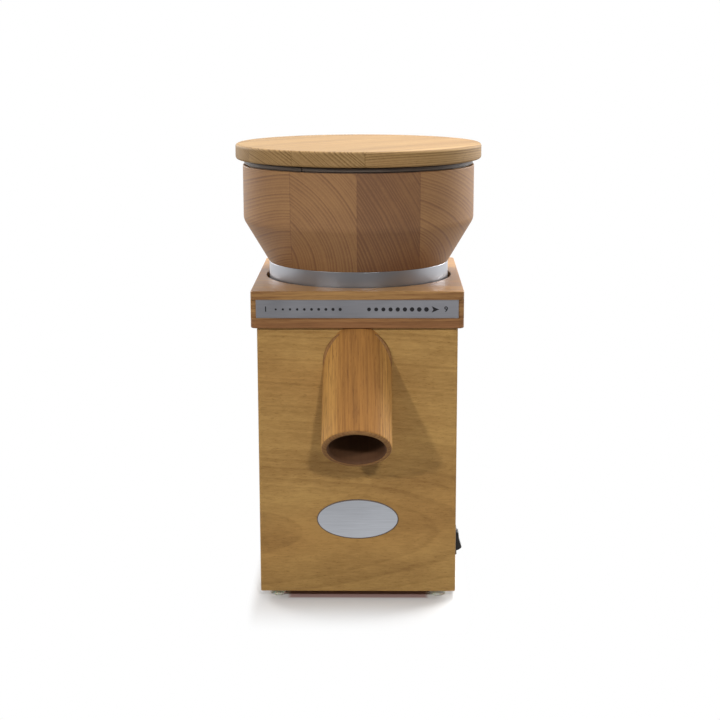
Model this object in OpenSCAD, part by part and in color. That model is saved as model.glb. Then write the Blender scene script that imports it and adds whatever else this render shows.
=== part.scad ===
// Electric grain mill: a wooden housing with a turning hopper above two millstones and an upright motor.
// Millimetres. +Z is up, the front faces -Y, and the origin is on the mill's axis at the floor.

/* [Housing] */
// Width of the housing
body_w = 142; // [140:1:165]
// Depth of the housing
body_d = 158; // [154:1:180]
// Height of the housing panels
body_h = 196; // [192:0.5:220]
// Thickness of the side panels
side_t = 10; // [7:0.5:10.5]
// Thickness of the front and rear panels
front_t = 12; // [10:0.5:14]
// Radius of the housing's upright edges
body_edge_r = 1.5; // [0.5:0.5:4]
// Thickness of the base plate
base_t = 6; // [4:0.5:9]
// Side of the square corner blocks
block_w = 12; // [9:0.5:13]
// Height of the upper corner blocks
block_h = 18; // [14:1:22]
// Length of the lower corner blocks
base_block_l = 30; // [26:1:36]
// Height of the lower corner blocks
base_block_h = 12; // [9:0.5:12]

/* [Feet] */
// Height of a foot
foot_h = 6; // [4:0.5:12]
// Radius of a foot at the top
foot_r = 6; // [5:0.5:8]
// Radius of a foot at the floor
foot_tip_r = 5.2; // [4:0.1:8]
// Distance from the housing's sides to a foot's axis
foot_side = 12.5; // [9:0.5:20]
// Distance from the housing's front and rear to a foot's axis
foot_front = 11; // [9:0.5:20]

/* [Top frame] */
// Overhang of the frame past the housing on every side
frame_over = 4; // [1:0.5:10]
// Height of the frame
frame_h = 26.5; // [22:0.5:34]
// Radius of the frame's upright edges
frame_edge_r = 3; // [0.5:0.5:6]
// Thickness of the ledge that carries the milling chamber
ledge_t = 6; // [4:0.5:7]
// Width of the open gap around the hopper ring
ring_gap = 2.2; // [1.5:0.1:3]

/* [Scale] */
// Height of the scale plate
scale_h = 13.3; // [8:0.1:15]
// Length of the scale plate
scale_l = 142.4; // [100:0.2:146]
// Thickness of the scale plate
scale_t = 1.2; // [0.5:0.1:2]
// Depth of the groove that holds the scale plate
groove_depth = 2; // [1:0.1:3]
// Distance from the frame's top to the groove
groove_drop = 6; // [4:0.2:8]

/* [Badge] */
// Width of the oval badge
badge_w = 59; // [30:1:90]
// Height of the oval badge
badge_h = 29.6; // [15:0.2:40]
// Thickness of the badge
badge_t = 0.8; // [0.4:0.1:2]
// Height of the badge's centre above the housing's lower edge
badge_up = 55; // [25:1:75]

/* [Spout] */
// Outer radius of the spout
spout_r = 24.5; // [22.5:0.5:28]
// Radius of the spout's bore
spout_bore_r = 19.5; // [18.5:0.5:21]
// Length of the spout along its axis, from the front panel to the mouth
spout_len = 63.5; // [45:0.5:80]
// Slope of the spout below the level
spout_tilt = 45; // [40:1:50]
// How much higher than the top frame's underside the spout would reach if it weren't trimmed there
spout_rise = 2.2; // [0:0.1:3]
// Gap between the trimmed spout and the top frame
spout_gap = 0.4; // [0.2:0.1:2]
// How far the spout's round seat stands out from the front panel
seat_out = 2.5; // [1.5:0.5:3.5]
// Radius of the rounding at the spout's mouth
spout_round = 1.8; // [0.5:0.1:2.2]

/* [Hopper] */
// Outer radius of the hopper ring
ring_r = 66.7; // [64:0.1:69]
// Wall of the hopper ring
ring_wall = 3; // [2:0.1:4]
// Thickness of the hopper ring's disc
disc_t = 3; // [2:0.1:5]
// Height of the ring that shows above the top frame
ring_show = 10.8; // [8:0.1:20]
// Outer radius of the hopper bowl
bowl_r = 85.4; // [80:0.1:100]
// Wall of the bowl at its rim
bowl_wall = 11.4; // [8:0.1:15]
// Height of the bowl's sloping foot
bowl_foot_h = 31.5; // [26:0.1:45]
// Height of the bowl's upright wall
bowl_wall_h = 39.9; // [20:0.1:80]
// Thickness of wood under the feed throat's lip
bowl_floor_t = 12; // [8:0.5:16]
// Height of the band on the bowl's rim
band_h = 4.2; // [2:0.1:8]
// Set-back of the band from the bowl's outer wall
band_inset = 1; // [0:0.1:3]
// Width of the band
band_w = 8; // [4:0.1:9]

/* [Lid] */
// Radius of the lid
lid_r = 90.6; // [86:0.1:105]
// Thickness of the lid's rim
lid_t = 11.1; // [8:0.1:20]
// Depth of the step under the lid that drops into the bowl
lid_step_h = 6; // [3:0.5:12]
// Radius of the rounding on the lid's edge
lid_round = 2; // [0.5:0.1:4]

/* [Stones] */
// Radius of both millstones
stone_r = 42.5; // [38:0.5:44]
// Thickness of the lower stone
lower_stone_t = 14.5; // [12:0.5:16]
// Thickness of the upper stone
upper_stone_t = 18; // [14:0.5:20]
// Gap between the stones at the finest setting
stone_gap = 0.3; // [0.1:0.1:1]
// Radius of the upper stone's eye and the feed throat
throat_r = 14; // [12:0.5:16]
// Wall of the feed throat
throat_wall = 2; // [1:0.1:3]

/* [Milling chamber] */
// Clearance between the stones and the chamber wall
chamber_clear = 4; // [3:0.5:5]
// Wall of the milling chamber
chamber_wall = 4; // [3:0.5:5]
// Thickness of the chamber's floor
chamber_floor_t = 6; // [5:0.5:8]
// Thickness of the chamber's flange
flange_t = 5; // [3:0.5:6]
// Radius of the flour outlet
port_r = 13; // [9:0.5:13]
// Wall of the outlet pipe
port_wall = 3; // [2:0.5:4]
// Thickness of the outlet gasket
gasket_t = 3; // [2:0.5:4]

/* [Motor] */
// Radius of the motor
motor_r = 50; // [47:0.5:50]
// Height of the stator core
stack_h = 55; // [40:1:60]
// Radius of the rotor core
rotor_r = 24.6; // [20:0.1:26]
// Radial gap between rotor and stator
air_gap = 0.4; // [0.3:0.1:0.8]
// Height of each motor shield
shield_h = 24; // [22:1:26]
// Radius of the motor shaft
shaft_r = 7.5; // [6:0.5:8]
// Outer radius of the bearings
bearing_r = 17.5; // [15:0.5:18]
// Width of the bearings
bearing_w = 11; // [8:0.5:12]
// Radius of the cooling fan
fan_r = 42; // [30:1:46]
// Radius of the capacitor
cap_r = 12.5; // [10:0.5:13.5]
// Length of the capacitor
cap_h = 60; // [40:1:80]

/* [Switch] */
// Height of the switch bezel
bezel_h = 19; // [18:0.5:22]
// Width of the switch bezel
bezel_w = 13.5; // [13:0.5:18]
// Thickness of the switch bezel
bezel_t = 2; // [1:0.1:2.4]
// Depth of the switch housing behind the side panel's face
switch_depth = 14; // [12:0.5:20]
// Distance from the housing's front face to the switch's centre
switch_back = 32; // [32:1:60]
// Height of the switch's centre above the base plate
switch_up = 22.8; // [22:0.2:44]
// Tilt of the rocker to each side
rocker_tilt = 12; // [6:1:12]
// Height of the rocker's ends above its pivot
rocker_rise = 5; // [3.6:0.1:5]

/* [Cord gland] */
// Radius of the bore for the mains lead
cord_bore_r = 3.7; // [3:0.1:4.5]
// Height of the gland above the housing's lower edge
gland_up = 24; // [20:1:60]

/* [Hidden] */
$fn = 96;
run_fit = 0.08;          // radial clearance of the turning fits
pivot_fit = 0.05;        // radial clearance of the rocker's pivot
slip = 0.4;              // free space around parts that pass each other
over = 1;                // how far a cutter reaches past a face

carrier_t = 5;
carrier_gap = 2.5;       // room under the stone carrier for the sweeper arms

// Levels, from the floor up
z_body = foot_h;
z_base = z_body + base_t;
z_frame = z_body + body_h;
z_ledge = z_frame + ledge_t;
z_flange = z_ledge + flange_t;
z_top = z_frame + frame_h;
z_bowl = z_top + ring_show;
z_knee = z_bowl + bowl_foot_h;
z_rim = z_knee + bowl_wall_h;
z_lid = z_rim + band_h;
z_max = z_lid + lid_t;
z_skirt = z_ledge + 1.5;
z_disc = z_bowl - disc_t;
z_lip = z_bowl + bowl_floor_t;
z_stone_top = z_ledge - 0.2;
z_eye = z_stone_top - upper_stone_t;
z_mill = z_eye - stone_gap;
z_carrier = z_mill - lower_stone_t;
z_floor = z_carrier - carrier_t - carrier_gap;
z_motor = z_floor - chamber_floor_t;
z_stack = z_motor - shield_h;
z_lower = z_stack - stack_h;
z_shield = z_lower - shield_h;

// Plan sizes
inner_w = body_w - 2 * side_t;
inner_d = body_d - 2 * front_t;
frame_w = body_w + 2 * frame_over;
frame_d = body_d + 2 * frame_over;
hole_r = ring_r + ring_gap;
chamber_r = stone_r + chamber_clear;
chamber_out_r = chamber_r + chamber_wall;
collar_r = ring_r - ring_wall - run_fit;
flange_r = collar_r - 1.6;
bowl_in_r = bowl_r - bowl_wall;

// Chamber screws and thread ring
thread_base_t = 4;
thread_wall = 3.5;
collar_top = z_disc - 4.9;
chamber_screw_ring = (chamber_out_r + collar_r - thread_wall) / 2;
screw_r = 2;
screw_fit = 0.05;
screw_head_r = 3.6;
screw_head_h = 2.4;
chamber_screw_l = 14;
base_screw_l = 15;
base_screw_y = 23;
frame_screw_l = 30;

// Hopper ring, dust seal and stone holder
seal_h = 5.4;
seal_lift = 0.1;
seal_fit = 0.05;
holder_t = 5;
holder_over = 1.5;
holder_ring = stone_r - 4.5;
holder_screw_l = 14;
post_r = 5.5;
bowl_screw_ring = 52;
bowl_screw_l = 18;
throat_out_r = throat_r + throat_wall;
lip_flange = 8;
lip_r = throat_out_r + lip_flange;
lip_t = 2;
lip_land = 2;
bowl_slope_h = 26;
band_slit = 0.6;
band_slit_angle = -117;

// Stone carrier, washer and nut
carrier_r = stone_r + 2.5;
carrier_hub_r = shaft_r + 5.5;
sweeper_r = chamber_r - 0.5;
sweeper_t = chamber_clear - 1.2;
sweeper_w = 5;
sweeper_h = 10;
sweeper_lift = 0.5;
sweepers = 3;
stud_r = 5;
stud_fit = 0.05;
washer_r = 12;
washer_t = 1.6;
recess_r = washer_r + 1;
recess_t = 6;
nut_r = 9.4;
nut_h = 7;
stud_over = 2.5;
shoulder_drop = 1;
intake_flare = 10;
intake_r = throat_r + intake_flare;
intake_h = 11;
z_washer = z_mill - recess_t;
z_nut = z_washer + washer_t;

// Spout and outlet
spout_z = z_frame + spout_rise - spout_r / cos(spout_tilt);
spout_top = z_frame - spout_gap;
seat_z = spout_top - spout_r;
seat_round = 0.8 * seat_out;
port_z = z_floor + port_r;
port_seat = front_t / 2;
spout_relief = 1;        // step from the spout's bore to the wider bore at its root
spout_bore_l = spout_len - spout_bore_r * tan(spout_tilt) - spout_relief;
port_out_r = port_r + port_wall;

// Motor details
shield_plate_t = 6;
boss_r = bearing_r + 4.5;
boss_h = bearing_w;
bolt_bite = 4;
shaft_clear = 0.5;
end_ring_r = rotor_r - 2;
end_ring_h = 4;
bolt_length = stack_h + 2 * shield_h + bolt_bite;
shield_wall = 7.5;
shield_in_r = motor_r - shield_wall;
bolt_ring = motor_r - 3.8;
bolt_r = 2.5;
bolt_fit = 0.1;
bolt_head_r = 4.5;
bolt_head_h = 4;
coil_in_r = rotor_r + air_gap + 3;
coil_out_r = shield_in_r - 1.5;
coil_h = 10;
fan_gap = 5;
fan_h = 14;
fan_disc_t = 2.5;
fan_hub_r = 13;
fan_blades = 9;
fan_blade_t = 1.6;
shaft_tail = fan_gap + fan_h + 2;
seal_ring_r = 12;
seal_ring_t = 4;

// Capacitor, terminal block and gland
clip_t = 1.5;
clip_h = 14;
clip_gap = 0.5;
clip_fit = 0.1;
cap_x = -(inner_w / 2 - cap_r - clip_t - clip_gap);
cap_y = inner_d / 2 - cap_r - clip_t;
cap_up = 50;
terminal_l = 34;
terminal_w = 15;
terminal_h = 13;
terminal_x = 18;
terminal_back = 26;
terminal_y = inner_d / 2 - terminal_back;
gland_x = -30;
gland_flange_r = cord_bore_r + 6;
gland_flange_t = 3;
gland_body_r = cord_bore_r + 3;
gland_nut_t = 5;

// Switch
switch_y = -body_d / 2 + switch_back;
switch_z = z_base + switch_up;
wall_x = body_w / 2;
lip_bezel = 1;
switch_body_h = bezel_h - 2 * lip_bezel;
switch_body_w = bezel_w - 2 * lip_bezel - 0.2;
switch_wall = 0.9;
rocker_r = switch_body_h / 2 - switch_wall - 0.15;
rocker_w = switch_body_w - 2 * switch_wall - 0.4;
cut_fit = 0.1;
rocker_dip = 0.9;
rocker_floor = 3;
rocker_well = 6;
pivot_r = 1.2;
pivot_l = 0.7;
blade_l = 7;
blade_w = 4.8;
blade_t = 0.8;
blade_pitch = 6;
lead_r = 1.3;
lead_out = 14;           // straight reach of the leads from the switch and into the terminal block
lead_in = 25;
motor_lead_r = 2;
motor_lead_out = 16;
motor_lead_in = 24;
motor_lead_gap = 0.3;

// Air slots
slot_w = 4;
slot_pitch = 9;
slots = 7;
slot_l = 56;
rear_slot_l = 70;
rear_slot_w = 3;
rear_slots = 5;
rear_slot_up = 135;

SIGNS = [-1, 1];

// ---------------------------------------------------------------- helpers

module tube(r_out, r_in, h) {
    difference() {
        cylinder(r = r_out, h = h);
        translate([0, 0, -over]) cylinder(r = r_in, h = h + 2 * over);
    }
}

module rounded_rect(w, d, r) {
    square([w - 2 * r, d], center = true);
    square([w, d - 2 * r], center = true);
    for (sx = SIGNS, sy = SIGNS)
        translate([sx * (w / 2 - r), sy * (d / 2 - r)]) circle(r = r);
}

// A rectangle of a turned section, with its two corners at the far end of y rounded
module round_ended(r_in, r_out, y, h, r) {
    translate([r_in, y]) square([r_out - r_in, h - r]);
    translate([r_in + r, y]) square([r_out - r_in - 2 * r, h]);
    for (x = [r_in + r, r_out - r]) translate([x, y + h - r]) circle(r = r);
}

module box_between(low, high) {
    translate(low) cube(high - low);
}

module at_corners(x, y) {
    for (sx = SIGNS, sy = SIGNS) translate([sx * x, sy * y, 0]) children();
}

module around(count, r, start = 0) {
    for (i = [0 : count - 1]) rotate([0, 0, start + 360 * i / count]) translate([r, 0, 0]) children();
}

// A screw whose head stands on z = 0 and whose thread points up
module screw(length, head_r = screw_head_r, head_h = screw_head_h, r = screw_r) {
    cylinder(r = head_r, h = head_h);
    cylinder(r = r, h = length);
}

module screw_hole(length) {
    translate([0, 0, -over]) cylinder(r = screw_r + screw_fit, h = length + over);
}

// The same hole with room for the head below it
module sunk_hole(length) {
    screw_hole(length);
    translate([0, 0, -over]) cylinder(r = screw_head_r + screw_fit, h = screw_head_h + over);
}

// Places its children at the spout's root, with +Z along the flour's way out
module on_spout() {
    translate([0, -body_d / 2, spout_z]) rotate([90 + spout_tilt, 0, 0]) children();
}

// Places its children on the outlet's axis, with +Z towards the front
module on_port() {
    translate([0, 0, port_z]) rotate([90, 0, 0]) children();
}

// Places its children at the rocker's pivot, with +X out of the side panel
module on_switch() {
    translate([wall_x, switch_y, switch_z]) children();
}

// Places its children on the gland's axis, with +Z out of the rear panel
module on_gland() {
    translate([gland_x, body_d / 2, z_body + gland_up]) rotate([-90, 0, 0]) children();
}

// ---------------------------------------------------------------- wooden housing

module housing_slab(depth) {
    translate([0, 0, z_body]) linear_extrude(body_h) intersection() {
        rounded_rect(body_w, body_d, body_edge_r);
        translate([-body_w / 2, -body_d / 2]) square([body_w, depth]);
    }
}

module side_slab() {
    translate([inner_w / 2, -inner_d / 2, z_body]) cube([side_t, inner_d, body_h]);
}

module front_panel() {
    color("burlywood") difference() {
        housing_slab(front_t);
        on_port() cylinder(r = port_r, h = body_d);
        on_port() cylinder(r = port_out_r + slip, h = body_d / 2 - port_seat);
    }
}

module rear_panel() {
    color("burlywood") difference() {
        mirror([0, 1, 0]) housing_slab(front_t);
        on_gland() translate([0, 0, -front_t - over])
            cylinder(r = gland_body_r + screw_fit, h = front_t + 2 * over);
        for (i = [0 : rear_slots - 1])
            translate([-rear_slot_l / 2, inner_d / 2 - over, z_body + rear_slot_up + i * slot_pitch])
                cube([rear_slot_l, front_t + 2 * over, rear_slot_w]);
    }
}

module left_panel() {
    color("tan") mirror([1, 0, 0]) side_slab();
}

module right_panel() {
    color("tan") difference() {
        side_slab();
        on_switch() translate([-side_t - over, -switch_body_w / 2, -switch_body_h / 2])
            cube([side_t + 2 * over, switch_body_w, switch_body_h]);
    }
}

module base_screw_places() {
    translate([0, 0, z_body])
        at_corners(inner_w / 2 - block_w / 2, inner_d / 2 - base_screw_y) children();
}

module frame_screw_places() {
    translate([0, 0, z_frame - block_h])
        at_corners(inner_w / 2 - block_w / 2, inner_d / 2 - block_w / 2) children();
}

module base_plate() {
    color("peru") difference() {
        translate([-inner_w / 2, -inner_d / 2, z_body]) cube([inner_w, inner_d, base_t]);
        for (i = [0 : slots - 1])
            translate([-slot_l / 2, (i - (slots - 1) / 2) * slot_pitch - slot_w / 2, z_body - over])
                cube([slot_l, slot_w, base_t + 2 * over]);
        base_screw_places() sunk_hole(base_t + over);
    }
}

module base_blocks() {
    color("wheat") difference() {
        at_corners(inner_w / 2 - block_w / 2, inner_d / 2 - base_block_l / 2)
            translate([-block_w / 2, -base_block_l / 2, z_base])
                cube([block_w, base_block_l, base_block_h]);
        base_screw_places() screw_hole(base_screw_l);
    }
}

module top_blocks() {
    color("wheat") difference() {
        frame_screw_places() translate([-block_w / 2, -block_w / 2, 0])
            cube([block_w, block_w, block_h]);
        frame_screw_places() sunk_hole(block_h + over);
    }
}

module base_screws() {
    color("silver") base_screw_places() screw(base_screw_l);
}

module frame_screws() {
    color("silver") frame_screw_places() screw(frame_screw_l);
}

module feet() {
    color("ghostwhite") at_corners(body_w / 2 - foot_side, body_d / 2 - foot_front)
        cylinder(r1 = foot_tip_r, r2 = foot_r, h = foot_h);
}

module chamber_screw_places() {
    translate([0, 0, z_flange + thread_base_t])
        around(4, chamber_screw_ring, 45) mirror([0, 0, 1]) children();
}

module top_frame() {
    groove_z = z_top - groove_drop - scale_h;
    color("peru") difference() {
        translate([0, 0, z_frame]) linear_extrude(frame_h) rounded_rect(frame_w, frame_d, frame_edge_r);
        translate([0, 0, z_ledge]) cylinder(r = hole_r, h = frame_h);
        translate([0, 0, z_frame - over]) cylinder(r = chamber_out_r + slip, h = frame_h);
        translate([-frame_w / 2 - over, -frame_d / 2 - over, groove_z])
            cube([frame_w + 2 * over, groove_depth + over, scale_h]);
        frame_screw_places() screw_hole(frame_screw_l);
        chamber_screw_places() screw_hole(chamber_screw_l);
    }
}

module scale_plate() {
    color("silver")
        translate([-scale_l / 2, -frame_d / 2 + groove_depth - scale_t, z_top - groove_drop - scale_h])
            cube([scale_l, scale_t, scale_h]);
}

module badge_plate() {
    steps = 72;
    color("silver") translate([0, -body_d / 2, z_body + badge_up]) rotate([90, 0, 0])
        linear_extrude(badge_t)
            polygon([for (i = [0 : steps - 1]) let (a = 360 * i / steps)
                [badge_w / 2 * cos(a), badge_h / 2 * sin(a)]]);
}

// A round wooden tube, cut off along the front panel and under the top frame, on a round seat
module spout() {
    root = spout_r * tan(spout_tilt) + over;
    color("tan") difference() {
        union() {
            on_spout() rotate_extrude()
                round_ended(spout_bore_r, spout_r, -root, root + spout_len, spout_round);
            translate([0, -body_d / 2 + over, seat_z]) rotate([90, 0, 0]) rotate_extrude()
                round_ended(spout_bore_r / 2, spout_r, 0, over + seat_out, seat_round);
        }
        on_spout() translate([0, 0, -root - over])
            cylinder(r = spout_bore_r + spout_relief, h = root + over + spout_len - spout_bore_l);
        translate([-body_w / 2, -body_d / 2, 0]) cube([body_w, body_d, z_max]);
        translate([-body_w / 2, -body_d, spout_top]) cube([body_w, body_d, z_max]);
    }
}

// ---------------------------------------------------------------- milling chamber

module milling_chamber() {
    color("gainsboro") difference() {
        union() {
            translate([0, 0, z_motor]) cylinder(r = chamber_out_r, h = z_flange - z_motor);
            translate([0, 0, z_ledge]) cylinder(r = flange_r, h = flange_t);
            on_port() cylinder(r = port_out_r, h = body_d / 2 - port_seat - gasket_t);
        }
        translate([0, 0, z_floor]) cylinder(r = chamber_r, h = z_flange);
        on_port() cylinder(r = port_r, h = body_d);
        translate([0, 0, z_motor - over]) cylinder(r = shaft_r + shaft_clear, h = z_flange);
        translate([0, 0, z_floor - seal_ring_t]) cylinder(r = seal_ring_r, h = z_flange);
        chamber_screw_places() screw_hole(chamber_screw_l);
        motor_bolt_places() bolt_hole();
    }
}

module chamber_screws() {
    color("silver") chamber_screw_places() {
        translate([0, 0, -screw_head_h]) cylinder(r = screw_head_r, h = screw_head_h);
        cylinder(r = screw_r, h = chamber_screw_l);
    }
}

module thread_ring() {
    color("dimgray") difference() {
        translate([0, 0, z_flange]) cylinder(r = collar_r, h = collar_top - z_flange);
        translate([0, 0, z_flange - over]) cylinder(r = chamber_out_r, h = z_rim);
        translate([0, 0, z_flange + thread_base_t]) cylinder(r = collar_r - thread_wall, h = z_rim);
        chamber_screw_places() screw_hole(chamber_screw_l);
    }
}

module outlet_gasket() {
    color("darkslategray") on_port() translate([0, 0, body_d / 2 - port_seat - gasket_t])
        tube(port_out_r, port_r, gasket_t);
}

module shaft_seal() {
    color("darkslategray") translate([0, 0, z_floor - seal_ring_t])
        tube(seal_ring_r, shaft_r + run_fit, seal_ring_t);
}

// ---------------------------------------------------------------- hopper and lid

module dust_seal() {
    color("ivory") translate([0, 0, z_ledge + seal_lift])
        tube(hole_r - run_fit, ring_r + seal_fit, seal_h);
}

module bowl_screw_places() {
    translate([0, 0, z_disc - screw_head_h]) around(4, bowl_screw_ring) children();
}

module holder_screw_places() {
    translate([0, 0, z_bowl]) around(3, holder_ring, 90) mirror([0, 0, 1]) children();
}

module hopper_bowl() {
    hole = throat_out_r + seal_fit;
    color("sienna") difference() {
        rotate_extrude() polygon([
            [ring_r, z_bowl], [bowl_r, z_knee], [bowl_r, z_rim],
            [bowl_in_r, z_rim], [bowl_in_r, z_lip + bowl_slope_h],
            [lip_r + lip_land, z_lip], [hole, z_lip], [hole, z_bowl]]);
        bowl_screw_places() screw_hole(bowl_screw_l);
    }
}

module hopper_ring() {
    color("silver") difference() {
        translate([0, 0, z_skirt]) cylinder(r = ring_r, h = z_bowl - z_skirt);
        translate([0, 0, z_skirt - over]) cylinder(r = ring_r - ring_wall, h = z_disc - z_skirt + over);
        translate([0, 0, z_skirt]) cylinder(r = throat_out_r + seal_fit, h = z_bowl);
        bowl_screw_places() screw_hole(bowl_screw_l);
        holder_screw_places() sunk_hole(holder_screw_l);
    }
}

module rim_band() {
    band_r = bowl_r - band_inset;
    color("dimgray") translate([0, 0, z_rim]) difference() {
        tube(band_r, band_r - band_w, band_h);
        rotate([0, 0, band_slit_angle])
            translate([band_r - band_w - over, -band_slit / 2, -over])
                cube([band_w + 2 * over, band_slit, band_h + 2 * over]);
    }
}

module feed_throat() {
    color("silver") difference() {
        union() {
            translate([0, 0, z_stone_top]) cylinder(r = throat_out_r, h = z_lip - z_stone_top);
            translate([0, 0, z_lip]) cylinder(r1 = lip_r, r2 = lip_r - lip_t, h = lip_t);
        }
        translate([0, 0, z_stone_top - over]) cylinder(r = throat_r, h = z_lip);
        translate([0, 0, z_lip]) cylinder(r1 = throat_r, r2 = throat_r + lip_t, h = lip_t + 0.01);
    }
}

module bowl_screws() {
    color("silver") bowl_screw_places() screw(bowl_screw_l);
}

module stone_holder() {
    color("gainsboro") difference() {
        union() {
            translate([0, 0, z_stone_top]) cylinder(r = stone_r + holder_over, h = holder_t);
            translate([0, 0, z_stone_top]) around(3, holder_ring, 90)
                cylinder(r = post_r, h = z_disc - z_stone_top);
        }
        translate([0, 0, z_stone_top - over]) cylinder(r = throat_out_r + seal_fit, h = z_bowl);
        holder_screw_places() screw_hole(disc_t + holder_screw_l);
    }
}

module holder_screws() {
    color("silver") holder_screw_places() screw(holder_screw_l);
}

module upper_stone() {
    color("lightgray") difference() {
        translate([0, 0, z_eye]) cylinder(r = stone_r, h = upper_stone_t);
        translate([0, 0, z_eye - over]) cylinder(r = throat_r, h = z_bowl);
        translate([0, 0, z_eye]) cylinder(r1 = intake_r, r2 = throat_r, h = intake_h);
    }
}

module lid() {
    color("wheat") translate([0, 0, z_lid]) rotate_extrude() {
        translate([0, -lid_step_h]) square([bowl_in_r - slip, lid_step_h + over]);
        square([lid_r - lid_round, lid_t]);
        translate([0, lid_round]) square([lid_r, lid_t - 2 * lid_round]);
        for (z = [lid_round, lid_t - lid_round]) translate([lid_r - lid_round, z]) circle(r = lid_round);
    }
}

// ---------------------------------------------------------------- turning parts

module lower_stone() {
    color("lightgray") difference() {
        translate([0, 0, z_carrier]) cylinder(r = stone_r, h = lower_stone_t);
        translate([0, 0, z_carrier - over]) cylinder(r = shaft_r + stud_fit, h = z_mill);
        translate([0, 0, z_washer]) cylinder(r = recess_r, h = z_mill);
    }
}

module stone_carrier() {
    plate_z = z_carrier - carrier_t;
    low_z = z_floor + sweeper_lift;
    color("silver") difference() {
        union() {
            translate([0, 0, plate_z]) cylinder(r = carrier_r, h = carrier_t);
            translate([0, 0, low_z]) cylinder(r = carrier_hub_r, h = plate_z - low_z + over);
            around(sweepers, 0, 90) {
                box_between([0, -sweeper_w / 2, low_z], [sweeper_r, sweeper_w / 2, plate_z + over]);
                box_between([sweeper_r - sweeper_t, -sweeper_w / 2, low_z],
                    [sweeper_r, sweeper_w / 2, z_carrier + sweeper_h]);
            }
        }
        translate([0, 0, low_z - over]) cylinder(r = shaft_r + stud_fit, h = z_mill);
    }
}

module stone_washer() {
    color("silver") translate([0, 0, z_washer]) tube(washer_r, stud_r + stud_fit, washer_t);
}

module stone_nut() {
    color("silver") translate([0, 0, z_nut]) difference() {
        cylinder(r = nut_r, h = nut_h, $fn = 6);
        translate([0, 0, -over]) cylinder(r = stud_r + stud_fit, h = nut_h + 2 * over);
    }
}

module motor_shaft() {
    low_z = z_shield - shaft_tail;
    high_z = z_washer - shoulder_drop;
    color("silver") {
        translate([0, 0, low_z]) cylinder(r = shaft_r, h = high_z - low_z);
        translate([0, 0, low_z]) cylinder(r = stud_r, h = z_nut + nut_h + stud_over - low_z);
    }
}

module rotor_core() {
    color("slategray") translate([0, 0, z_lower]) difference() {
        union() {
            cylinder(r = rotor_r, h = stack_h);
            translate([0, 0, -end_ring_h]) cylinder(r = end_ring_r, h = stack_h + 2 * end_ring_h);
        }
        translate([0, 0, -end_ring_h - over]) cylinder(r = shaft_r + stud_fit, h = z_mill);
    }
}

module cooling_fan() {
    color("dimgray") translate([0, 0, z_shield - fan_gap - fan_h]) difference() {
        union() {
            cylinder(r = fan_hub_r, h = fan_h);
            translate([0, 0, fan_h - fan_disc_t]) cylinder(r = fan_r, h = fan_disc_t);
            around(fan_blades, 0)
                box_between([0, -fan_blade_t / 2, 0], [fan_r - over, fan_blade_t / 2, fan_h - over]);
        }
        translate([0, 0, -over]) cylinder(r = shaft_r + stud_fit, h = fan_h + 2 * over);
    }
}

// ---------------------------------------------------------------- standing parts of the motor

module motor_bolt_places() {
    translate([0, 0, z_shield]) around(4, bolt_ring, 45) children();
}

module bolt_hole() {
    translate([0, 0, -over]) cylinder(r = bolt_r + bolt_fit, h = bolt_length + over);
}

module stator_core() {
    color("slategray") difference() {
        translate([0, 0, z_lower]) tube(motor_r, rotor_r + air_gap, stack_h);
        motor_bolt_places() bolt_hole();
    }
}

module stator_windings() {
    color("darkorange") for (z = [z_stack, z_lower - coil_h])
        translate([0, 0, z]) tube(coil_out_r, coil_in_r, coil_h);
}

// A shield with its plate at z = 0 and its open side upwards
module shield() {
    difference() {
        cylinder(r = motor_r, h = shield_h);
        translate([0, 0, shield_plate_t]) difference() {
            cylinder(r = shield_in_r, h = shield_h);
            translate([0, 0, -over]) cylinder(r = boss_r, h = boss_h + over);
        }
        translate([0, 0, shield_plate_t]) cylinder(r = bearing_r, h = shield_h);
        translate([0, 0, -over]) cylinder(r = shaft_r + shaft_clear, h = shield_h);
    }
}

module upper_shield() {
    color("lightsteelblue") difference() {
        translate([0, 0, z_motor]) mirror([0, 0, 1]) shield();
        motor_bolt_places() bolt_hole();
    }
}

module lower_shield() {
    color("lightsteelblue") difference() {
        translate([0, 0, z_shield]) shield();
        motor_bolt_places() bolt_hole();
    }
}

// A sealed ball bearing with a shallow groove around each face
module bearing() {
    race = 2.5;
    dip = 0.5;
    difference() {
        tube(bearing_r, shaft_r + run_fit, bearing_w);
        for (z = [-over, bearing_w - dip]) translate([0, 0, z])
            tube(bearing_r - race, shaft_r + run_fit + race, dip + over);
    }
}

module upper_bearing() {
    color("silver") translate([0, 0, z_motor - shield_plate_t - bearing_w]) bearing();
}

module lower_bearing() {
    color("silver") translate([0, 0, z_shield + shield_plate_t]) bearing();
}

module motor_bolts() {
    color("silver") motor_bolt_places() {
        translate([0, 0, -bolt_head_h]) cylinder(r = bolt_head_r, h = bolt_head_h);
        cylinder(r = bolt_r, h = bolt_length);
    }
}

// ---------------------------------------------------------------- electrical parts

module capacitor() {
    terminal = [4, 0.8, 6];
    color("lightgray") translate([cap_x, cap_y, z_body + cap_up]) {
        cylinder(r = cap_r, h = cap_h);
        for (y = SIGNS * 4) translate([-terminal.x / 2, y - terminal.y / 2, cap_h - over])
            cube(terminal + [0, 0, over]);
    }
}

module capacitor_clip() {
    tab = cap_r + clip_t + 4;
    color("silver") translate([cap_x, cap_y, z_body + cap_up + (cap_h - clip_h) / 2]) {
        tube(cap_r + clip_t, cap_r + clip_fit, clip_h);
        difference() {
            translate([-clip_t, cap_r, 0]) cube([tab, clip_t, clip_h]);
            translate([0, 0, -over]) cylinder(r = cap_r + clip_fit, h = clip_h + 2 * over);
        }
    }
}

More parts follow.
